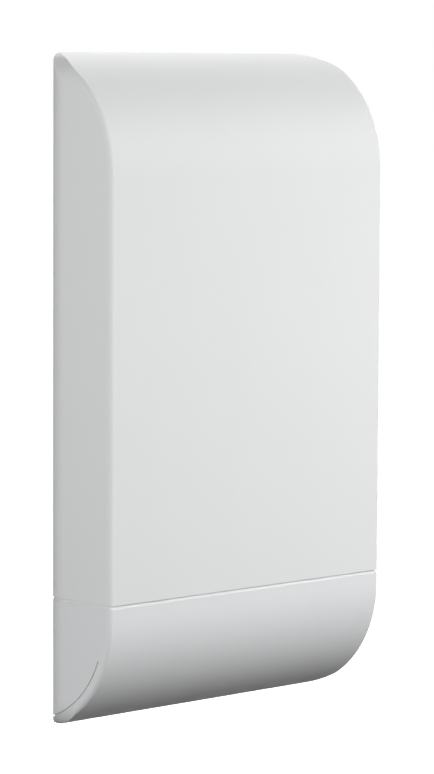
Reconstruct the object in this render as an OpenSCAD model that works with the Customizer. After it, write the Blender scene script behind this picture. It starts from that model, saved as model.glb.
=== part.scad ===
// Outdoor wireless access point with a built-in flat panel antenna.
// A one-piece white shell with rolled ends wraps round to the rear, a rear cover closes it,
// and a bottom cover slides down to open the bay with the network sockets.
// Origin: middle of the rear face. +Z up, front faces -Y, width along X. Millimetres.

/* [Housing] */
// Overall width
body_w = 108; // [94:0.5:120]
// Overall height
body_h = 190; // [170:1:230]
// Depth from the rear face to the flat front
body_d = 30; // [25:0.25:31]
// Radius of the rolled top and bottom ends
roll_r = 33.5; // [31:0.5:38]
// Rounding of the rear vertical edges
rear_edge_r = 10; // [4:0.5:12]
// Rounding between the front and the sides
front_edge_r = 1.6; // [1.5:0.1:3]
// How far that rounding reaches onto the front, where it ends in a crisp edge
front_edge_w = 1; // [0.5:0.1:1.4]
// Rounding of the four corners as seen from the front
corner_r = 8.5; // [2:0.5:12]
// Wall of the moulded shells
wall = 2.2; // [1.8:0.1:2.6]

/* [Bottom cover] */
// Height of the bottom cover, lowest point to seam
cover_h = 37.5; // [36:0.5:44]
// Open gap at the seam
seam_gap = 0.06; // [0.04:0.02:0.8]
// Chamfer on the cover's upper rim
seam_chamfer = 0.9; // [0.3:0.1:1.2]
// Height of the locating lip above the seam
lip_h = 3; // [2:0.25:3.5]
// Thickness of the locating lip
lip_t = 1.4; // [1:0.1:1.8]
// Running clearance between the cover and what it slides on
slide_clear = 0.3; // [0.25:0.05:0.45]
// Overlap of the cover's rear lips on the rear cover's tongue
rail_over = 1.5; // [1:0.1:2]
// Thickness of the cover's rear lips
rail_t = 1; // [0.8:0.1:1.1]
// Width of the cable mouth at the lower rear edge
mouth_w = 28; // [16:1:40]
// Height of the cable mouth in the rear cover
mouth_h = 9; // [7:0.5:12]
// Depth of the cable mouth into the underside
mouth_d = 4; // [3:0.25:5]

/* [Rear cover] */
// Thickness of the rear cover
plate_t = 2.4; // [2.2:0.1:3]
// Gap round the rear cover
plate_gap = 0.25; // [0.15:0.05:0.4]
// Height of the shell's rim above the rear cover
top_rim = 6; // [5:0.5:8]
// Thickness of the seal under the rear cover
seal_t = 1; // [0.8:0.1:1.5]
// Width of the seal
seal_w = 1.8; // [1.2:0.1:2.2]
// Width of the ledge that the seal lies on
ledge_w = 3; // [2.6:0.1:3.2]
// Thickness of the ledge
ledge_t = 2; // [1.6:0.1:2.4]

/* [Pole straps and wall screws] */
// Height of the upper strap slot above the middle
strap_up_z = 52; // [48:1:58]
// Height of the lower strap slot
strap_low_z = -18; // [-20:1:-15]
// Width of strap that the slots take
strap_w = 14.4; // [10:0.2:15]
// Clearance between a strap channel and the main board
strap_clear = 0.8; // [0.5:0.1:1.5]
// Thickness of the bridge
bridge_t = 3; // [2.8:0.1:3.2]
// Width of the bridge
bridge_w = 18; // [14:1:22]
// Length of the slot from end to end
slot_len = 44; // [40:1:45]
// Radius of the pole that the bridge is hollowed for
pole_r = 24; // [20:1:30]
// Depth of the hollow in the bridge
saddle_d = 1; // [0.5:0.1:1.4]
// Radius of a keyhole's entry
key_r = 4.2; // [3.6:0.1:4.4]
// Radius of a keyhole's slot
key_slot_r = 2.2; // [1.8:0.1:2.4]
// Rise from a keyhole's entry to the end of its slot
key_rise = 7; // [6:0.5:8]
// Height of the upper keyhole's entry
key_up_z = 71; // [69:1:72]
// Distance between the two keyholes
key_pitch = 60; // [56:1:62]
// Clearance between a keyhole's pocket and the main board
key_clear = 1.8; // [1:0.1:2.2]

/* [Boards and antenna] */
// Width of the boards and the reflector
board_w = 68; // [60:1:76]
// Thickness of the main board
board_t = 1.6; // [1:0.1:1.8]
// Distance from the main board to the reflector
standoff_h = 4.4; // [4:0.1:4.6]
// Thickness of the reflector plate
reflector_t = 0.8; // [0.5:0.1:1]
// Distance from the reflector to the antenna board
spacer_h = 4.2; // [3.8:0.1:4.4]
// Thickness of the antenna board
antenna_t = 1.2; // [0.8:0.1:1.4]
// Distance from a board's long edges to its fixing posts
post_inset = 6; // [5:0.5:7]
// Side length of one radiating patch
patch_w = 34; // [28:0.5:36]
// Thickness of the radiating patches
patch_t = 0.2; // [0.1:0.05:0.3]
// Radius of the coaxial leads
coax_r = 0.7; // [0.5:0.05:0.8]

/* [Sockets and button] */
// Distance between the two network sockets
jack_pitch = 22; // [19:0.5:28]
// Width of a network socket
jack_w = 16; // [15.6:0.1:16.4]
// Height of a network socket above the board
jack_h = 12.6; // [12.2:0.1:12.8]
// Length of a network socket
jack_l = 16; // [15:0.5:18]
// Clearance between a network socket and the front wall
jack_clear = 1.6; // [1:0.1:2]
// Sheet thickness of the socket's shield
shield_t = 0.3; // [0.2:0.05:0.4]
// Radius of the reset button
button_r = 1.8; // [1.4:0.1:2.2]
// Travel of the reset button
button_travel = 0.6; // [0.4:0.05:0.8]
// Thickness of the port panel
panel_t = 2; // [1.6:0.1:2.4]

/* [Screws] */
// Distance from the rear window's long edges to the screws in the rear cover
screw_inset = 8; // [7:0.25:9]
// Thread radius of the screws
screw_r = 1.5; // [1.25:0.05:1.6]
// Head radius of the screws
head_r = 2.7; // [2.4:0.1:2.8]
// Head height of the screws
head_h = 1.6; // [1.2:0.1:1.8]

/* [Hidden] */
$fn = 64;

// Clearances shared by the fits
snug = 0.1;          // round piece in its hole, each side
thread_clear = 0.05; // screw in its thread, each side
fit = 0.25;          // flat piece in its window, each side
over = 1;            // how far a cutter runs past what it cuts

// Roll geometry: the axis of both rolls lies behind the rear face
roll_y = roll_r - body_d;
roll_axis_z = body_h / 2 - sqrt(pow(roll_r, 2) - pow(roll_y, 2));
seam_z = cover_h - body_h / 2;
front_edge_d = sqrt(pow(front_edge_r, 2) - pow(front_edge_r - front_edge_w, 2));
line_inset = 2.5;
line_w = 0.35;
line_d = 0.5;
line_from = 22;
line_to = 85;

// Rear window
window_half = body_w / 2 - rear_edge_r;
window_top = body_h / 2 - top_rim;
window_r = 4;
seal_r = 3;
ledge_r = 2;
sill_h = 3.6;

// Layers: the main board stands where its sockets clear the front wall
board_front = jack_h + jack_clear + wall - body_d;
board_back = board_front + board_t;
reflector_back = board_front - standoff_h;
reflector_front = reflector_back - reflector_t;
antenna_back = reflector_front - spacer_h;
antenna_front = antenna_back - antenna_t;
ledge_back = -plate_t - seal_t;

// Strap channels and keyhole pockets fill the depth behind the main board
strap_floor = 1.6;
strap_gap = -board_back - strap_clear - strap_floor - bridge_t;
key_room = 1;
key_floor = 1.4;
key_depth = -board_back - key_clear - key_floor - plate_t;
key_zs = [key_up_z, key_up_z - key_pitch];

// Heights of the inner pieces
panel_rise = 7.5;
board_lift = 0.5;
stack_rise = 30;
stack_clear = 1.2;
panel_top = seam_z + panel_rise;
panel_low = panel_top - panel_t;
board_low = panel_top + board_lift;
stack_top = inner_roll_z(antenna_front - head_h) - stack_clear;
stack_low = panel_top + stack_rise;
stack_mid = (stack_low + stack_top) / 2;

// Fixing posts of the boards
post_low_inset = 20;
post_top_inset = 7;
post_x = board_w / 2 - post_inset;
post_zs = [stack_low + post_low_inset, stack_top - post_top_inset];
stud_clear = 1;
stack_grip = 3;
grip_clear = 0.4;
board_r = 2;

// Rear cover screws, top to bottom, and the port panel's screws
screw_post_r = 3.2;
post_clear = 1;
boss_wall = 0.6;
boss_h = 3.6;
head_sink = 1;
cross_w = 0.7;
screw_len = 11;
screw_top_inset = 7;
screw_low_rise = 14;
screw_x = window_half - screw_inset;
screw_seat = -head_h - head_sink;
screw_joint = -plate_t - boss_h;
screw_top_z = window_top - screw_top_inset;
screw_low_z = panel_top + screw_low_rise;
screw_zs = [screw_top_z, (screw_top_z + screw_low_z) / 2, screw_low_z];
panel_screw_inset = 7.5;
panel_screw_shift = 4;
panel_screw_len = 7;
panel_screw_x = body_w / 2 - panel_screw_inset;
panel_screw_y = -body_d / 2 - panel_screw_shift;
rib_t = 2;
rib_over = 2;

// Sliding bottom cover
lip_root = 3.5;
lip_end = 2;
rail_front_t = 1.6;
chamfer_past = 0.3;
mouth_r = 2;

// Pieces on the main board
can_w = 44;
can_d = 3.2;
can_h = 38;
can_r = 1.5;
can_sheet = 0.3;
can_hole_r = 0.8;
can_hole_pitch = 8;
can_hole_inset = 3.5;
chip_t = 1.2;
chip_x = 10;
chip_large = 12;
chip_large_z = 2;
chip_mid = 9;
chip_mid_z = 4;
chip_small = 8;
chip_small_z = -10;
pad_w = 26;
magnetic_w = 12.6;
magnetic_d = 5.6;
magnetic_h = 9;
magnetic_gap = 1.5;
cap_r = 3.8;
cap_h = 9;
cap_pitch = 8.5;
cap_rise = 6.5;
flange_h = 3;
flange_end = 2;
patch_gap = 8;
coax_inset = 5;
coax_drop = 4;
coax_bend_r = 3.5;
coax_run = 5;
coax_plug_r = 1.5;
coax_plug_h = 1.4;
coax_x = post_x - coax_inset;
coax_z = stack_low - coax_drop;

// Sockets, button and lights
jack_proud = 1.5;
jack_xs = [-jack_pitch / 2, jack_pitch / 2];
jack_low = panel_low - jack_proud;
port_w = 11.8;
port_h = 6.8;
port_depth = 12.6;
port_lift = 2.8;
port_grow = 0.3;
port_y = board_front - port_lift;
latch_w = 6;
latch_h = 1.7;
contact_w = 0.46;
contact_t = 0.4;
contact_l = 8;
contact_pitch = 1.02;
contact_lean = 1.2;
contact_foot = 1;
contact_tip = 2.4;
contact_end = 0.5;
contact_knee = 0.8;
button_inset = 4;
button_lift = 4;
button_proud = 1.4;
button_reach = 3.4;
button_collar = 1;
button_flange_t = 1.2;
button_x = board_w / 2 - button_inset;
button_y = board_front - button_lift;
button_low = panel_low - button_proud;
button_top = panel_top + button_flange_t + button_reach;
switch_w = 6;
switch_d = 2.5;
switch_h = 4;
stem_r = 1.2;
stem_h = 0.6;
vent_inset = 13;
vent_x = vent_inset - panel_screw_x;
vent_y = panel_screw_y;
vent_r = 2.6;
vent_collar = 1.6;
vent_flange_t = 1.2;
vent_proud = 1;
vent_ring_r = 1.5;
vent_hole_r = 0.45;
led_w = 2;
led_h = 1.2;
led_t = 0.8;
led_pitch = 8;
led_rise = 12;
led_xs = [for (i = [-2 : 2]) i * led_pitch];
led_z = panel_top + led_rise;
pipe_r = 1.3;
pipe_collar = 0.8;
pipe_flange_t = 1.2;

// Height of the roll's inner wall at depth y
function inner_roll_z(y) = roll_axis_z + sqrt(pow(roll_r - wall, 2) - pow(roll_y - y, 2));

// Shared outlines and forms

// Rectangle from low to high corner with rounded corners
module round_rect(low, high, r) {
    if (r <= 0) translate(low) square(high - low);
    else {
        translate([low[0] + r, low[1]]) square([high[0] - low[0] - 2 * r, high[1] - low[1]]);
        translate([low[0], low[1] + r]) square([high[0] - low[0], high[1] - low[1] - 2 * r]);
        for (x = [low[0] + r, high[0] - r], y = [low[1] + r, high[1] - r])
            translate([x, y]) circle(r);
    }
}

// Section of the housing with its front edges rounded, drawn as (x, y) and inset from the skin
module front_section(inset, back) {
    half = body_w / 2 - inset;
    front = inset - body_d;
    r = front_edge_r - inset;
    reach = max(front_edge_d - inset, 0);
    translate([-half, front + reach]) square([2 * half, back - front - reach]);
    if (reach > 0) intersection() {
        union() {
            translate([r - half, front]) square([2 * (half - r), 2 * r]);
            for (side = [-1, 1]) translate([side * (half - r), front + reach]) circle(r);
        }
        translate([-half, front]) square([2 * half, reach + over / 2]);
    }
}

// Plan with its rear edges rounded, open towards the front
module rear_section(inset) {
    half = body_w / 2 - inset;
    intersection() {
        round_rect([-half, -2 * body_d], [half, -inset], max(rear_edge_r - inset, 0));
        translate([-half, -body_d - over]) square([2 * half, body_d + over - inset]);
    }
}

// One rolled end: the front section swung about the roll's axis
module rolled_end(inset) {
    translate([0, roll_y, roll_axis_z]) rotate([90, 0, -90]) rotate_extrude(angle = 90)
        intersection() {
            rotate(90) translate([0, -roll_y]) front_section(inset, roll_y);
            translate([roll_y / 2, -body_w]) square([2 * roll_r, 2 * body_w]);
        }
}

// The housing's whole form, inset from its skin
module envelope(inset) {
    intersection() {
        union() {
            linear_extrude(2 * roll_axis_z, center = true) front_section(inset, 0);
            rolled_end(inset);
            mirror([0, 0, 1]) rolled_end(inset);
        }
        linear_extrude(body_h + 2 * over, center = true) rear_section(inset);
        along_y(over, -body_d - over) translate([-body_w / 2, -body_h / 2])
            round_rect([inset, inset], [body_w - inset, body_h - inset], max(corner_r - inset, 0));
    }
}

// Extrude an (x, z) outline between two depths
module along_y(back, front) {
    translate([0, back, 0]) rotate([90, 0, 0]) linear_extrude(back - front) children();
}

// Slab of the housing's own breadth between two heights
module band(low, high) {
    translate([-body_w, -body_d - over, low]) cube([2 * body_w, body_d + 2 * over, high - low]);
}

// Round bar along Y between two depths
module bar_y(x, z, r, back, front) {
    translate([x, back, z]) rotate([90, 0, 0]) cylinder(r = r, h = back - front);
}

// Screw along Y with its head towards the rear when dir is 1, towards the front when -1
module screw_y(x, seat, z, len, dir) {
    translate([x, seat, z]) rotate([dir * 90, 0, 0]) plain_screw(len);
}

// Pan-head screw with a cross recess, seat at the origin, thread along +Z
module plain_screw(len) {
    difference() {
        union() {
            cylinder(r = screw_r, h = len);
            translate([0, 0, -head_h]) cylinder(r = head_r, h = head_h);
        }
        for (turn = [0, 90]) rotate(turn)
            translate([-head_r * 0.6, -cross_w / 2, -head_h - over])
                cube([head_r * 1.2, cross_w, head_h * 0.6 + over]);
    }
}

// Window in the housing's rear wall, from below the lowest point up to its rounded top
module rear_window(half, top, back, front) {
    along_y(back, front) round_rect([-half, -body_h], [half, top], window_r);
}

module skin() {
    difference() {
        envelope(0);
        envelope(wall);
    }
}

// Housing shells

module front_shell() color([0.93, 0.94, 0.94]) {
    difference() {
        union() {
            skin();
            intersection() {
                envelope(wall / 2);
                shell_fittings();
            }
        }
        band(-body_h, seam_z + seam_gap / 2);
        rear_window(window_half, window_top, over, ledge_back);
        for (side = [-1, 1]) {
            for (z = screw_zs)
                bar_y(side * screw_x, z, screw_r + thread_clear, 0, screw_seat - screw_len - over);
            translate([side * panel_screw_x, panel_screw_y, panel_top - over])
                cylinder(r = screw_r + thread_clear, h = panel_screw_len + over);
        }
    }
}

// Ledge for the seal, screw posts and the port panel's posts, trimmed by the shell
module shell_fittings() {
    inner_half = window_half - ledge_w;
    rib_mid = panel_screw_x + panel_screw_inset / 2;
    difference() {
        along_y(ledge_back, ledge_back - ledge_t)
            translate([-body_w / 2, panel_top]) square([body_w, body_h]);
        along_y(0, -body_d)
            round_rect([-inner_half, panel_top + sill_h], [inner_half, window_top - ledge_w], ledge_r);
    }
    for (side = [-1, 1]) {
        for (z = screw_zs) bar_y(side * screw_x, z, screw_post_r, screw_joint, -body_d);
        translate([side * panel_screw_x, panel_screw_y, panel_top])
            cylinder(r = screw_post_r, h = panel_screw_len + rib_over);
        translate([side * rib_mid - panel_screw_inset / 2, panel_screw_y - rib_t / 2, panel_top])
            cube([panel_screw_inset, rib_t, panel_screw_len + rib_over]);
    }
}

module rear_cover() color([0.9, 0.91, 0.91]) {
    half = window_half - plate_gap;
    top = window_top - plate_gap;
    difference() {
        union() {
            rear_plate(half, top);
            for (z = [strap_up_z, strap_low_z]) strap_box(z, strap_floor);
            for (z = key_zs) key_pocket(z, key_floor);
            for (side = [-1, 1]) {
                for (z = screw_zs) bar_y(side * screw_x, z, screw_post_r + boss_wall, 0, screw_joint);
                for (z = post_zs) bar_y(side * post_x, z, screw_post_r, 0, board_back);
            }
        }
        for (z = [strap_up_z, strap_low_z]) strap_cut(z);
        for (z = key_zs) keyhole(z);
        for (side = [-1, 1]) {
            for (z = screw_zs) {
                bar_y(side * screw_x, z, head_r + fit, over, screw_seat);
                bar_y(side * screw_x, z, screw_r + snug, over, screw_joint - over);
            }
            for (z = post_zs) bar_y(side * post_x, z, screw_r + thread_clear, -plate_t, board_back - over);
        }
        for (x = led_xs) bar_y(x, led_z, pipe_r + snug, over, -plate_t - over);
    }
}

// Flat plate; below the seam its edges are stepped for the cover's rear lips
module rear_plate(half, top) {
    low = plate_low();
    notch_top = mouth_h - body_h / 2;
    step_half = window_half - rail_over - slide_clear;
    difference() {
        along_y(0, -plate_t) difference() {
            round_rect([-half, low], [half, top], window_r - plate_gap);
            round_rect([-mouth_w / 2, low - body_h], [mouth_w / 2, notch_top], mouth_r);
        }
        for (side = [-1, 1])
            translate([side * (step_half + body_w / 2) - body_w / 2, -rail_t - slide_clear, low - over])
                cube([body_w, body_d, seam_z + seam_gap / 2 - low + over]);
    }
}

// Lowest edge of the rear plate, just above the bottom cover's inner wall
function plate_low() = -inner_roll_z(-plate_t) + slide_clear;

module strap_box(z, floor_t) {
    deep = bridge_t + strap_gap + floor_t;
    translate([-slot_len / 2 - floor_t, -deep, z - strap_w / 2 - floor_t])
        cube([slot_len + 2 * floor_t, deep - plate_t / 2, strap_w + 2 * floor_t]);
}

// Channel for the strap: open at both ends, bridged in the middle, hollowed for the pole
module strap_cut(z) {
    deep = bridge_t + strap_gap;
    difference() {
        translate([-slot_len / 2, -deep, z - strap_w / 2]) cube([slot_len, deep + over, strap_w]);
        translate([-bridge_w / 2, -bridge_t, z - strap_w]) cube([bridge_w, bridge_t + 2 * over, 2 * strap_w]);
    }
    translate([0, pole_r - saddle_d, z - strap_w / 2]) cylinder(r = pole_r, h = strap_w);
}

module key_pocket(z, floor_t) {
    along_y(-plate_t / 2, -plate_t - key_depth - floor_t) key_outline(z, key_r + key_room + floor_t);
}

// Round ends over the keyhole's rise, with straight sides between
module key_outline(z, r) {
    for (rise = [0, key_rise]) translate([0, z + rise]) circle(r);
    translate([-r, z]) square([2 * r, key_rise]);
}

module keyhole(z) {
    bar_y(0, z, key_r, over, -plate_t);
    bar_y(0, z + key_rise, key_slot_r, over, -plate_t);
    along_y(over, -plate_t) translate([-key_slot_r, z]) square([2 * key_slot_r, key_rise]);
    along_y(-plate_t, -plate_t - key_depth) key_outline(z, key_r + key_room);
}

module bottom_cover() color([0.92, 0.93, 0.93]) {
    rim = seam_z - seam_gap / 2;
    difference() {
        union() {
            intersection() {
                skin();
                band(-body_h, rim);
            }
            cover_lip(rim);
            intersection() {
                envelope(wall / 2);
                cover_rails(rim);
            }
        }
        rear_window(window_half - rail_over, window_top, over, -plate_t);
        rear_window(window_half, window_top, -rail_t, -plate_t - slide_clear);
        along_y(over, -mouth_d) round_rect([-mouth_w / 2, -body_h], [mouth_w / 2, 0], mouth_r);
        mould_line();
        rim_chamfer(rim);
    }
}

// Fine line that the mould leaves on the side faces, just inside the roll's rounded edge
module mould_line() {
    difference() {
        mirror([0, 0, 1]) translate([0, roll_y, roll_axis_z]) rotate([90, 0, -90]) rotate(line_from)
            rotate_extrude(angle = line_to - line_from) for (side = [-1, 1])
                translate([roll_r - line_inset - line_w, side * (window_half + body_w / 2) - body_w / 2])
                    square([line_w, body_w]);
        envelope(line_d);
    }
}

// Lip round the front and sides that enters the shell above
module cover_lip(rim) {
    lip_out = wall + slide_clear;
    intersection() {
        translate([0, 0, rim - lip_root]) union() {
            lip_ring(wall / 2, lip_out + lip_t, lip_root);
            lip_ring(lip_out, lip_out + lip_t, lip_root + lip_h + seam_gap);
        }
        translate([-body_w, -2 * body_d, -body_h])
            cube([2 * body_w, 2 * body_d - rear_edge_r - lip_end, 2 * body_h]);
    }
}

module lip_ring(outer, inner, h) {
    linear_extrude(h) difference() {
        front_section(outer, 0);
        front_section(inner, over);
    }
}

// Rails in front of the tongue's edges
module cover_rails(rim) {
    front = -plate_t - slide_clear;
    for (side = [-1, 1])
        translate([side * (window_half - rail_over + body_w / 2) - body_w / 2, front - rail_front_t, -body_h])
            cube([body_w, rail_front_t, body_h + rim]);
}

// Bevel of the cover's rim on the front, both sides and the rounded edges between
module rim_chamfer(rim) {
    translate([0, -body_d, rim]) rotate([90, 0, 90])
        linear_extrude(2 * body_w, center = true) chamfer_outline();
    for (side = [-1, 1]) {
        translate([side * body_w / 2, 0, rim]) rotate([90, 0, 90 + side * 90])
            linear_extrude(4 * body_d, center = true) chamfer_outline();
        translate([side * (body_w / 2 - front_edge_r), front_edge_d - body_d, rim]) rotate(225 + side * 45)
            rotate_extrude(angle = 90) translate([front_edge_r, 0]) mirror([1, 0]) chamfer_outline();
        translate([side * (body_w / 2 - rear_edge_r), -rear_edge_r, rim]) rotate(45 - side * 45)
            rotate_extrude(angle = 90) translate([rear_edge_r, 0]) mirror([1, 0]) chamfer_outline();
    }
}

// Triangle that bevels a rim, drawn as (depth, height) from the rim's outer edge
module chamfer_outline() {
    reach = seam_chamfer + chamfer_past;
    polygon([[-chamfer_past, -reach], [reach, chamfer_past], [-chamfer_past, chamfer_past]]);
}

module case_gasket() color([0.25, 0.25, 0.26]) {
    half = window_half - (ledge_w - seal_w) / 2;
    top = window_top - (ledge_w - seal_w) / 2;
    low = panel_top + (sill_h - seal_w) / 2;
    along_y(-plate_t, -plate_t - seal_t) difference() {
        round_rect([-half, low], [half, top], seal_r);
        round_rect([seal_w - half, low + seal_w], [half - seal_w, top - seal_w], seal_r - seal_w / 2);
    }
}

module port_panel() color([0.88, 0.89, 0.89]) {
    inset = wall + fit;
    back = -plate_t - fit;
    difference() {
        translate([0, 0, panel_low]) linear_extrude(panel_t) intersection() {
            front_section(inset, back);
            rear_section(inset);
        }
        for (x = jack_xs)
            translate([x - jack_w / 2 - fit, board_front - jack_h - fit, panel_low - over])
                cube([jack_w + 2 * fit, jack_h + 2 * fit, panel_t + 2 * over]);
        panel_hole(button_x, button_y, button_r + slide_clear);
        panel_hole(vent_x, vent_y, vent_r + snug);
        for (side = [-1, 1]) panel_hole(side * panel_screw_x, panel_screw_y, screw_r + snug);
    }
}

module panel_hole(x, y, r) {
    translate([x, y, panel_low - over]) cylinder(r = r, h = panel_t + 2 * over);
}

// Boards and antenna

module main_board() color([0.08, 0.32, 0.16]) {
    along_y(board_back, board_front) difference() {
        round_rect([-board_w / 2, board_low], [board_w / 2, stack_top], board_r);
        board_holes();
    }
}

// Fixing holes that the boards and the reflector share, and room for the case's screw posts
module board_holes() {
    for (side = [-1, 1]) {
        for (z = post_zs) translate([side * post_x, z]) circle(screw_r + snug);
        for (z = screw_zs) translate([side * screw_x, z]) circle(screw_post_r + post_clear);
    }
}

// One piece at each of the four fixing posts
module at_posts() {
    for (side = [-1, 1], z = post_zs) translate([side * post_x, 0, z]) children();
}

module antenna_board() color([0.85, 0.83, 0.7]) {
    along_y(antenna_back, antenna_front) difference() {
        round_rect([-board_w / 2, stack_low], [board_w / 2, stack_top], board_r);
        board_holes();
    }
}

// Two corner-cut patches with their feed strips
module antenna_patches() color([0.8, 0.5, 0.3]) {
    cut = patch_w / 6;
    for (step = [-1, 1]) {
        z = stack_mid + step * (patch_w + patch_gap) / 2;
        along_y(antenna_front, antenna_front - patch_t) difference() {
            translate([-patch_w / 2, z - patch_w / 2]) square(patch_w);
            for (turn = [0, 180]) translate([0, z]) rotate(turn)
                translate([patch_w / 2, patch_w / 2]) rotate(45) square([cut, 2 * cut], center = true);
        }
    }
}

// Sheet tray with flanges turned towards the antenna
module reflector_plate() color([0.78, 0.79, 0.8]) {
    along_y(reflector_back, reflector_front) difference() {
        round_rect([-board_w / 2, stack_low], [board_w / 2, stack_top], board_r / 2);
        board_holes();
    }
    along_y(reflector_front, reflector_front - flange_h) difference() {
        for (side = [-1, 1])
            translate([side * (board_w - reflector_t) / 2 - reflector_t / 2, stack_low + flange_end])
                square([reflector_t, stack_top - stack_low - 2 * flange_end]);
        board_holes();
    }
}

// Six-sided spacers whose studs pass the board into the rear cover's posts
module board_standoffs() color([0.8, 0.68, 0.35]) {
    at_posts() difference() {
        union() {
            translate([0, board_front, 0]) rotate([90, 0, 0])
                cylinder(r = 2 * screw_r, h = standoff_h, $fn = 6);
            bar_y(0, 0, screw_r, -plate_t - stud_clear, board_front);
        }
        bar_y(0, 0, screw_r + thread_clear, reflector_back + stack_grip + grip_clear, reflector_back - over);
    }
}

module antenna_spacers() color([0.9, 0.9, 0.86]) {
    at_posts() difference() {
        bar_y(0, 0, 2 * screw_r, reflector_front, antenna_back);
        bar_y(0, 0, screw_r + snug, reflector_front + over, antenna_back - over);
    }
}

module antenna_screws() color([0.9, 0.9, 0.86]) {
    at_posts() screw_y(0, antenna_front, 0, antenna_t + spacer_h + reflector_t + stack_grip, -1);
}

// Pressed can over the radio, open towards the board
module board_shield_can() color([0.75, 0.76, 0.77]) {
    hole_rise = can_h / 2 - can_hole_inset;
    difference() {
        along_y(board_front, board_front - can_d) can_outline(0);
        along_y(board_front + over, board_front - can_d + can_sheet) can_outline(can_sheet);
        for (col = [-2 : 2], row = [-1, 1])
            bar_y(col * can_hole_pitch, stack_mid + row * hole_rise, can_hole_r, board_front, reflector_back);
    }
}

module can_outline(inset) {
    low = [inset - can_w / 2, stack_mid + inset - can_h / 2];
    high = [can_w / 2 - inset, stack_mid + can_h / 2 - inset];
    round_rect(low, high, can_r - inset);
}

module radio_chips() color([0.12, 0.12, 0.13]) {
    chip(-chip_x, chip_large_z, chip_large);
    chip(chip_x, chip_mid_z, chip_mid);
    chip(chip_x, chip_small_z, chip_small);
}

module chip(x, z, side) {
    translate([x - side / 2, board_front - chip_t, stack_mid + z - side / 2]) cube([side, chip_t, side]);
}

// Soft pad that carries heat from the can to the reflector
module thermal_pad() color([0.55, 0.6, 0.66]) {
    translate([-pad_w / 2, reflector_back, stack_mid - pad_w / 2]) cube([pad_w, standoff_h - can_d, pad_w]);
}

module ethernet_magnetics() color([0.1, 0.1, 0.11]) {
    for (x = jack_xs)
        translate([x - magnetic_w / 2, board_front - magnetic_d, jack_low + jack_l + magnetic_gap])
            cube([magnetic_w, magnetic_d, magnetic_h]);
}

// Two cans halfway between a socket and the nearest screw post or board edge
module power_capacitors() color([0.2, 0.22, 0.26]) {
    socket_side = (jack_pitch + jack_w) / 2;
    x = -(socket_side + min(board_w / 2, screw_x - screw_post_r)) / 2;
    low = panel_top + cap_rise;
    for (z = [low, low + cap_pitch]) bar_y(x, z, cap_r, board_front, board_front - cap_h);
}

// Leads from the main board round the lower edge of the antenna board to its face
module coax_lead(x) color([0.15, 0.15, 0.16]) {
    run_y = antenna_front - coax_r;
    bar_y(x, coax_z, coax_r, board_front - coax_plug_h, run_y + coax_bend_r);
    translate([x, run_y + coax_bend_r, coax_z + coax_bend_r]) rotate([90, 0, -90]) rotate([0, 0, -90])
        rotate_extrude(angle = 90) translate([coax_bend_r, 0]) circle(coax_r);
    translate([x, run_y, coax_z + coax_bend_r])
        cylinder(r = coax_r, h = stack_low + coax_run - coax_z - coax_bend_r);
}

module coax_lead_left() coax_lead(-coax_x);
module coax_lead_right() coax_lead(coax_x);

module coax_connectors() color([0.82, 0.7, 0.36]) {
    for (x = [-coax_x, coax_x]) bar_y(x, coax_z, coax_plug_r, board_front, board_front - coax_plug_h);
}

// Sockets, button and lights

// Keyed opening of a network socket, drawn as (x, y)
module port_outline(grow) {
    translate([-port_w / 2 - grow, port_y - port_h - grow]) square([port_w + 2 * grow, port_h + 2 * grow]);
    translate([-latch_w / 2 - grow, port_y - port_h - latch_h - grow])
        square([latch_w + 2 * grow, latch_h + 2 * grow]);
}

// Sheet shield folded round the socket
module network_jack(x) color([0.74, 0.75, 0.77]) {
    translate([x, 0, jack_low]) difference() {
        translate([-jack_w / 2, board_front - jack_h, 0]) cube([jack_w, jack_h, jack_l]);
        translate([shield_t - jack_w / 2, board_front - jack_h + shield_t, shield_t])
            cube([jack_w - 2 * shield_t, jack_h, jack_l - 2 * shield_t]);
        translate([0, 0, -over]) linear_extrude(2 * over) port_outline(port_grow);
    }
}

module network_jack_left() network_jack(jack_xs[0]);
module network_jack_right() network_jack(jack_xs[1]);

// Moulded blocks inside the shields, with the plug's cavity
module jack_inserts() color([0.13, 0.13, 0.14]) {
    for (x = jack_xs) translate([x, 0, jack_low]) difference() {
        translate([shield_t - jack_w / 2, board_front - jack_h + shield_t, shield_t])
            cube([jack_w - 2 * shield_t, jack_h - shield_t, jack_l - 2 * shield_t]);
        translate([0, 0, -over]) linear_extrude(port_depth + over) port_outline(0);
        contact_row() contact_groove();
    }
}

// Eight places across a socket
module contact_row() {
    for (i = [-3.5 : 3.5]) translate([i * contact_pitch, 0, 0]) children();
}

// Groove that a contact lies in, on the board side of the cavity
module contact_groove() {
    translate([-contact_w / 2, port_y - over, port_depth - contact_l - over])
        cube([contact_w, contact_t + over, contact_l + over]);
}

// Contacts leaning out of their grooves into the cavity
module jack_contacts() color([0.85, 0.7, 0.3]) {
    foot = port_depth - contact_l + contact_foot;
    tip = port_depth - contact_l + contact_tip;
    for (x = jack_xs) translate([x, 0, jack_low]) contact_row()
        translate([-contact_w / 2, 0, 0]) rotate([90, 0, 90]) linear_extrude(contact_w)
            polygon([
                [port_y + contact_t, port_depth], [port_y + contact_t, foot],
                [port_y - contact_lean, tip], [port_y - contact_lean, tip + contact_end],
                [port_y, foot + contact_knee], [port_y, port_depth]
            ]);
}

// Plunger with a collar that rests on the port panel
module reset_button() color([0.2, 0.2, 0.21]) {
    translate([button_x, button_y, button_low]) {
        cylinder(r = button_r, h = button_top - button_low);
        translate([0, 0, panel_top - button_low + snug])
            cylinder(r = button_r + button_collar, h = button_flange_t);
    }
}

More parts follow.
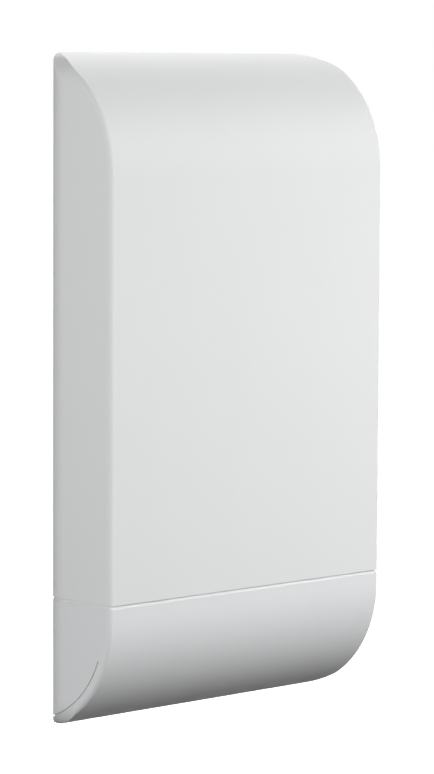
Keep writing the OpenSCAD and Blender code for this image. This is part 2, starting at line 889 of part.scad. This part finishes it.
// Side-facing push switch, its stem just above the plunger
module reset_switch() color([0.3, 0.3, 0.31]) {
    stem_low = button_top + button_travel + slide_clear;
    translate([button_x - switch_w / 2, button_y - switch_d, stem_low + stem_h])
        cube([switch_w, button_lift + switch_d, switch_h]);
    translate([button_x, button_y, stem_low]) cylinder(r = stem_r, h = stem_h + over);
}

module status_leds() color([0.95, 0.95, 0.8]) {
    for (x = led_xs) translate([x - led_w / 2, board_back, led_z - led_h / 2]) cube([led_w, led_t, led_h]);
}

// Clear rods from the lights to the rear face, stopped by a collar
module light_pipes() color([0.85, 0.9, 0.95, 0.6]) {
    for (x = led_xs) {
        bar_y(x, led_z, pipe_r, -snug, board_back + led_t + fit);
        bar_y(x, led_z, pipe_r + pipe_collar, -plate_t, -plate_t - pipe_flange_t);
    }
}

// Breather pressed into the port panel
module vent_plug() color([0.3, 0.3, 0.31]) {
    translate([vent_x, vent_y, panel_low]) difference() {
        union() {
            cylinder(r = vent_r, h = panel_t + vent_proud);
            translate([0, 0, -vent_flange_t]) cylinder(r = vent_r + vent_collar, h = vent_flange_t);
        }
        for (turn = [0 : 60 : 300]) rotate(turn) translate([vent_ring_r, 0, -vent_flange_t - over])
            cylinder(r = vent_hole_r, h = panel_t + vent_flange_t + vent_proud + 2 * over);
    }
}

module case_screws() color([0.7, 0.71, 0.72]) {
    for (x = [-screw_x, screw_x], z = screw_zs) screw_y(x, screw_seat, z, screw_len, 1);
}

module panel_screws() color([0.7, 0.71, 0.72]) {
    for (side = [-1, 1])
        translate([side * panel_screw_x, panel_screw_y, panel_low])
            plain_screw(panel_t + panel_screw_len - over);
}

front_shell();
rear_cover();
bottom_cover();
case_gasket();
port_panel();
main_board();
antenna_board();
antenna_patches();
reflector_plate();
board_standoffs();
antenna_spacers();
antenna_screws();
board_shield_can();
radio_chips();
thermal_pad();
ethernet_magnetics();
power_capacitors();
coax_lead_left();
coax_lead_right();
coax_connectors();
network_jack_left();
network_jack_right();
jack_inserts();
jack_contacts();
reset_button();
reset_switch();
status_leds();
light_pipes();
vent_plug();
case_screws();
panel_screws();
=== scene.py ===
"""Looks of the outdoor access point: a finish for every CAD piece, the studio, its lamps and the camera."""

import math

import bmesh
import bpy
from mathutils import Matrix, Vector

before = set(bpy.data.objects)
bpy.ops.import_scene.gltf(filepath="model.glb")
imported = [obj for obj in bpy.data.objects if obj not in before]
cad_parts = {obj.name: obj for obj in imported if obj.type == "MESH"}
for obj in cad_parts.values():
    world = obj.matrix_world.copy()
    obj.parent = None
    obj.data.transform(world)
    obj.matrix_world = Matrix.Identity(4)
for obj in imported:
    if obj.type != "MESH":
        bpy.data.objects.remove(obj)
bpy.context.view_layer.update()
scene = bpy.context.scene
scene.view_settings.view_transform = "Standard"

# Sockets of a Mix node that blends colours
MIX_MASK, MIX_LOW, MIX_HIGH, MIX_RESULT = 0, 6, 7, 2


class Value:
    """An output of a node. Sums of values add their Math nodes."""

    def __init__(self, nodes, socket):
        self.nodes = nodes
        self.socket = socket

    def sum(self, operation, *terms):
        return self.nodes.node("Math", {"operation": operation}, dict(enumerate(terms)))

    def __add__(self, other):
        return self.sum("ADD", self, other)

    __radd__ = __add__

    def __sub__(self, other):
        return self.sum("SUBTRACT", self, other)

    def __rsub__(self, other):
        return self.sum("SUBTRACT", other, self)

    def __mul__(self, other):
        return self.sum("MULTIPLY", self, other)

    __rmul__ = __mul__

    def __gt__(self, other):
        return self.sum("GREATER_THAN", self, other)


class Nodes:
    """A node tree and the node at its end, which the others feed."""

    def __init__(self, tree, end):
        self.tree = tree
        self.end = tree.nodes[end]

    def node(self, kind, settings=None, inputs=None, out=0):
        """Adds a node, with its settings first and then the values or links of its sockets."""
        made = self.tree.nodes.new("ShaderNode" + kind)
        for key, value in (settings or {}).items():
            setattr(made, key, value)
        for key, value in (inputs or {}).items():
            if isinstance(value, Value):
                self.tree.links.new(value.socket, made.inputs[key])
            else:
                made.inputs[key].default_value = value
        return Value(self, made.outputs[out])

    def feed(self, label, value):
        self.tree.links.new(value.socket, self.end.inputs[label])


class Finish(Nodes):
    """One material: a Principled shader with the nodes that feed it."""

    def __init__(self, name, **constants):
        self.material = bpy.data.materials.new(name)
        self.material.use_nodes = True
        super().__init__(self.material.node_tree, "Principled BSDF")
        self.place = self.node("TexCoord", out="Object")
        for label, value in constants.items():
            self.end.inputs[label.replace("_", " ")].default_value = value

    def mapped(self, **sockets):
        return self.node("Mapping", None, {"Vector": self.place, **sockets})

    def noise(self, scale, detail, stretch=None):
        place = self.mapped(Scale=stretch) if stretch else self.place
        return self.node("TexNoise", None, {"Vector": place, "Scale": scale, "Detail": detail})

    def blend(self, mask, low, high):
        return self.node("Mix", {"data_type": "RGBA"}, {MIX_MASK: mask, MIX_LOW: low, MIX_HIGH: high}, MIX_RESULT)

    def colour(self, mask, low, high):
        self.feed("Base Color", self.blend(mask, low, high))

    def tones(self, mask, colour, darkest, lightest):
        """Base colour between a darker and a lighter tone of one colour."""
        self.colour(mask, tone(colour, darkest), tone(colour, lightest))

    def relief(self, height, depth, strength=1.0):
        """Fine texture of the surface, with its depth in metres."""
        self.feed("Normal", self.node("Bump", None, {"Height": height, "Distance": depth, "Strength": strength}))


def tone(colour, factor):
    return tuple(min(channel * factor, 1) for channel in colour) + (1,)


def moulded_plastic(name, colour, roughness, grain=0.6, gloss=0.25):
    """Spark-textured moulding: fine grain, faint flow clouds, slightly uneven gloss."""
    finish = Finish(name, IOR=1.5, Specular_IOR_Level=gloss)
    clouds = finish.noise(scale=38, detail=3)
    pits = finish.noise(scale=3200, detail=2) + finish.noise(scale=1300, detail=1) * 0.5
    finish.tones(clouds, colour, darkest=0.985, lightest=1.015)
    finish.feed("Roughness", roughness - 0.03 + clouds * 0.06)
    finish.relief(pits, depth=0.00001, strength=grain)
    return finish.material


def rubber(name, colour):
    """Matt rubber with a dusty surface."""
    finish = Finish(name)
    dust = finish.noise(scale=900, detail=3)
    finish.tones(dust, colour, darkest=0.8, lightest=1.25)
    finish.feed("Roughness", 0.6 + dust * 0.2)
    finish.relief(dust, depth=0.00004)
    return finish.material


def sheet_metal(name, colour, roughness, stretch=(1, 1, 30)):
    """Rolled or brushed sheet with streaks across the stretched axis."""
    finish = Finish(name, Metallic=1.0)
    streaks = finish.noise(scale=420, detail=4, stretch=stretch)
    finish.tones(streaks, colour, darkest=0.88, lightest=1.06)
    finish.feed("Roughness", roughness - 0.06 + streaks * 0.14)
    finish.relief(streaks, depth=0.000015)
    return finish.material


def turned_metal(name, colour, roughness):
    """Turned, stamped or plated metal with small marks."""
    finish = Finish(name, Metallic=1.0)
    marks = finish.noise(scale=1600, detail=3)
    finish.tones(marks, colour, darkest=0.9, lightest=1.05)
    finish.feed("Roughness", roughness - 0.05 + marks * 0.12)
    finish.relief(marks, depth=0.00001)
    return finish.material


def circuit_board(name, mask_colour, track_colour):
    """Solder mask over copper tracks, with plated dots between them."""
    plating = (0.75, 0.6, 0.3, 1)
    finish = Finish(name, Coat_Weight=0.3, Coat_Roughness=0.25)
    tracks = finish.node("TexBrick", {"offset": 0.37, "squash": 1.0}, {
        "Vector": finish.mapped(Rotation=(math.pi / 2, 0, 0)), "Scale": 160, "Mortar Size": 0.09,
        "Brick Width": 1.4, "Row Height": 0.35}, out="Fac")
    cells = finish.node("TexVoronoi", {"feature": "DISTANCE_TO_EDGE"}, {"Vector": finish.place, "Scale": 260})
    plated = cells > 0.42
    finish.colour(plated, finish.blend(tracks, mask_colour, track_colour), plating)
    finish.feed("Roughness", 0.42 - plated * 0.12)
    finish.relief(tracks, depth=0.00003)
    return finish.material


def clear_rod(name):
    """Clear plastic with a slight haze."""
    finish = Finish(name, Roughness=0.08, IOR=1.49, Transmission_Weight=0.7)
    haze = finish.noise(scale=700, detail=2)
    finish.colour(haze, (0.86, 0.9, 0.92, 1), (0.96, 0.98, 1, 1))
    return finish.material


shell_white = moulded_plastic("shell_white", (0.798, 0.809, 0.804), 0.6, gloss=0.08)
cover_white = moulded_plastic("cover_white", (0.797, 0.805, 0.812), 0.6, gloss=0.08)
rear_white = moulded_plastic("rear_white", (0.76, 0.766, 0.76), 0.5, grain=1.0)
panel_grey = moulded_plastic("panel_grey", (0.68, 0.69, 0.69), 0.5, grain=1.0)
nylon = moulded_plastic("nylon", (0.72, 0.71, 0.66), 0.45)
black_moulding = moulded_plastic("black_moulding", (0.022, 0.022, 0.024), 0.45, grain=1.0)
button_grey = moulded_plastic("button_grey", (0.05, 0.05, 0.055), 0.4)
vent_grey = moulded_plastic("vent_grey", (0.07, 0.072, 0.075), 0.55, grain=1.0)
chip_black = moulded_plastic("chip_black", (0.018, 0.018, 0.02), 0.5, grain=1.0)
sleeve_black = moulded_plastic("sleeve_black", (0.02, 0.02, 0.026), 0.3)
lamp_white = moulded_plastic("lamp_white", (0.85, 0.82, 0.62), 0.3)
seal_rubber = rubber("seal_rubber", (0.03, 0.03, 0.032))
jacket_rubber = rubber("jacket_rubber", (0.018, 0.018, 0.02))
pad_rubber = rubber("pad_rubber", (0.26, 0.32, 0.4))
tinned_sheet = sheet_metal("tinned_sheet", (0.62, 0.63, 0.64), 0.32)
reflector_sheet = sheet_metal("reflector_sheet", (0.7, 0.71, 0.72), 0.36)
jack_sheet = sheet_metal("jack_sheet", (0.6, 0.61, 0.62), 0.28, stretch=(30, 1, 1))
copper_foil = sheet_metal("copper_foil", (0.66, 0.34, 0.2), 0.34)
brass = turned_metal("brass", (0.66, 0.5, 0.22), 0.3)
gold_plate = turned_metal("gold_plate", (0.8, 0.58, 0.2), 0.22)
zinc_steel = turned_metal("zinc_steel", (0.58, 0.59, 0.6), 0.3)
green_board = circuit_board("green_board", (0.012, 0.1, 0.035, 1), (0.025, 0.17, 0.06, 1))
antenna_laminate = circuit_board("antenna_laminate", (0.6, 0.56, 0.4, 1), (0.55, 0.5, 0.34, 1))
clear_pipe = clear_rod("clear_pipe")

FINISHES = {
    "front_shell": shell_white,
    "bottom_cover": cover_white,
    "rear_cover": rear_white,
    "case_gasket": seal_rubber,
    "port_panel": panel_grey,
    "main_board": green_board,
    "antenna_board": antenna_laminate,
    "antenna_patches": copper_foil,
    "reflector_plate": reflector_sheet,
    "board_standoffs": brass,
    "antenna_spacers": nylon,
    "antenna_screws": nylon,
    "board_shield_can": tinned_sheet,
    "radio_chips": chip_black,
    "thermal_pad": pad_rubber,
    "ethernet_magnetics": chip_black,
    "power_capacitors": sleeve_black,
    "coax_lead_left": jacket_rubber,
    "coax_lead_right": jacket_rubber,
    "coax_connectors": gold_plate,
    "network_jack_left": jack_sheet,
    "network_jack_right": jack_sheet,
    "jack_inserts": black_moulding,
    "jack_contacts": gold_plate,
    "reset_button": button_grey,
    "reset_switch": black_moulding,
    "status_leds": lamp_white,
    "light_pipes": clear_pipe,
    "vent_plug": vent_grey,
    "case_screws": zinc_steel,
    "panel_screws": zinc_steel,
}
for name, material in FINISHES.items():
    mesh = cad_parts[name].data
    mesh.materials.clear()
    mesh.materials.append(material)

# Soft boxes: place and side in metres, power in watts
SOFT_BOXES = {
    "left_box": ((-0.546, -0.243, 0.052), 0.25, 1.41),
    "left_high_box": ((-0.582, -0.103, 0.104), 0.25, 0.87),
    "right_box": ((0.874, -1.041, 0.634), 0.6, 12.7),
    "front_box": ((0.151, -0.325, 0.038), 0.2, 0.5),
    "rear_box": ((0.728, 0.867, 0.984), 0.6, 12.3),
    "rear_low_box": ((0.961, 1.145, 0.131), 0.6, 3.0),
}
# Overhead light: the side it comes from, its strength, and its spread in degrees
OVERHEAD_FROM = (0.455, 0.542, 0.707)
OVERHEAD_STRENGTH = 0.8
OVERHEAD_SPREAD = 30


def add_lamp(name, kind, spot, energy):
    """A lamp that looks at the middle of the object's rear face."""
    lamp = bpy.data.lights.new(name, kind)
    lamp.energy = energy
    stand = bpy.data.objects.new(name, lamp)
    stand.location = spot
    stand.rotation_euler = (-Vector(spot)).to_track_quat("-Z", "Y").to_euler()
    scene.collection.objects.link(stand)
    return lamp


for name, (spot, side, watts) in SOFT_BOXES.items():
    add_lamp(name, "AREA", spot, watts).size = side
overhead = add_lamp("overhead_light", "SUN", OVERHEAD_FROM, OVERHEAD_STRENGTH)
overhead.angle = math.radians(OVERHEAD_SPREAD)

# White studio: the backdrop and the floor are white to the rays that see them, and give the object little light
SEEN_RAYS = ("Is Camera Ray", "Is Glossy Ray", "Is Transmission Ray")
FLOOR_Z = -0.32
FLOOR_HALF = 20
# The floor glows less under the object, where its shadow falls: the glow and the distance from the middle in metres
GLOW_NEAR, GLOW_FAR = 0.05, 0.86
NEAR, FAR = 0.35, 1.1
FLOOR_WHITE = (0.9, 0.9, 0.9, 1)
FLOOR_DIM = (0.05, 0.05, 0.05, 1)


def seen_rays(nodes):
    """1 for rays from the camera, off a glossy surface or through glass, 0 for the light itself."""
    seen, *others = (nodes.node("LightPath", out=ray) for ray in SEEN_RAYS)
    for ray in others:
        seen = seen.sum("MAXIMUM", seen, ray)
    return seen


scene.world = bpy.data.worlds.new("studio")
scene.world.use_nodes = True
backdrop = Nodes(scene.world.node_tree, "Background")
backdrop.end.inputs["Color"].default_value = (1, 1, 1, 1)
backdrop.feed("Strength", seen_rays(backdrop))

paint = bpy.data.materials.new("studio_floor_paint")
paint.use_nodes = True
floor_nodes = Nodes(paint.node_tree, "Material Output")
paint.node_tree.nodes.remove(paint.node_tree.nodes["Principled BSDF"])
away = floor_nodes.node(
    "VectorMath", {"operation": "LENGTH"}, {0: floor_nodes.node("TexCoord", out="Object")}, out="Value")
glow = floor_nodes.node("MapRange", None, {
    "Value": away, "From Min": NEAR, "From Max": FAR, "To Min": GLOW_NEAR, "To Max": GLOW_FAR})
white = floor_nodes.node("AddShader", None, {
    0: floor_nodes.node("Emission", None, {"Color": glow}),
    1: floor_nodes.node("BsdfDiffuse", None, {"Color": FLOOR_WHITE})})
dim = floor_nodes.node("BsdfDiffuse", None, {"Color": FLOOR_DIM})
floor_nodes.feed("Surface", floor_nodes.node("MixShader", None, {0: seen_rays(floor_nodes), 1: dim, 2: white}))

sheet = bpy.data.meshes.new("studio_floor")
grid = bmesh.new()
bmesh.ops.create_grid(grid, x_segments=1, y_segments=1, size=FLOOR_HALF)
bmesh.ops.translate(grid, vec=(0, 0, FLOOR_Z), verts=grid.verts)
grid.to_mesh(sheet)
grid.free()
sheet.materials.append(paint)
floor = bpy.data.objects.new("studio_floor", sheet)
scene.collection.objects.link(floor)

# Camera: the lens in pixels of a picture that is PICTURE_H pixels high, the turn in degrees, and the place as metres to
# the right, up and back, seen by the camera before it is rolled
SENSOR = 36
LENS_PIXELS = 3544.3
PICTURE_H = 774
YAW, PITCH, ROLL = (math.radians(angle) for angle in (-44.206, 5.275, 0.282))
TO_RIGHT, TO_TOP, TO_BACK = 0.01136, -0.0018, 1.0315

camera = bpy.data.cameras.new("photo_camera")
camera.sensor_width = SENSOR
camera.lens = LENS_PIXELS * SENSOR / PICTURE_H
camera.clip_start = 0.01
camera.clip_end = 100
eye = bpy.data.objects.new("photo_camera", camera)
scene.collection.objects.link(eye)
scene.camera = eye
ahead = Vector((-math.sin(YAW) * math.cos(PITCH), math.cos(YAW) * math.cos(PITCH), -math.sin(PITCH)))
right = Vector((math.cos(YAW), math.sin(YAW), 0))
up = right.cross(ahead)
rolled_right = math.cos(ROLL) * right + math.sin(ROLL) * up
rolled_up = math.cos(ROLL) * up - math.sin(ROLL) * right
turn = Matrix((rolled_right, rolled_up, -ahead)).transposed()
eye.matrix_world = Matrix.Translation(TO_RIGHT * right + TO_TOP * up - TO_BACK * ahead) @ turn.to_4x4()
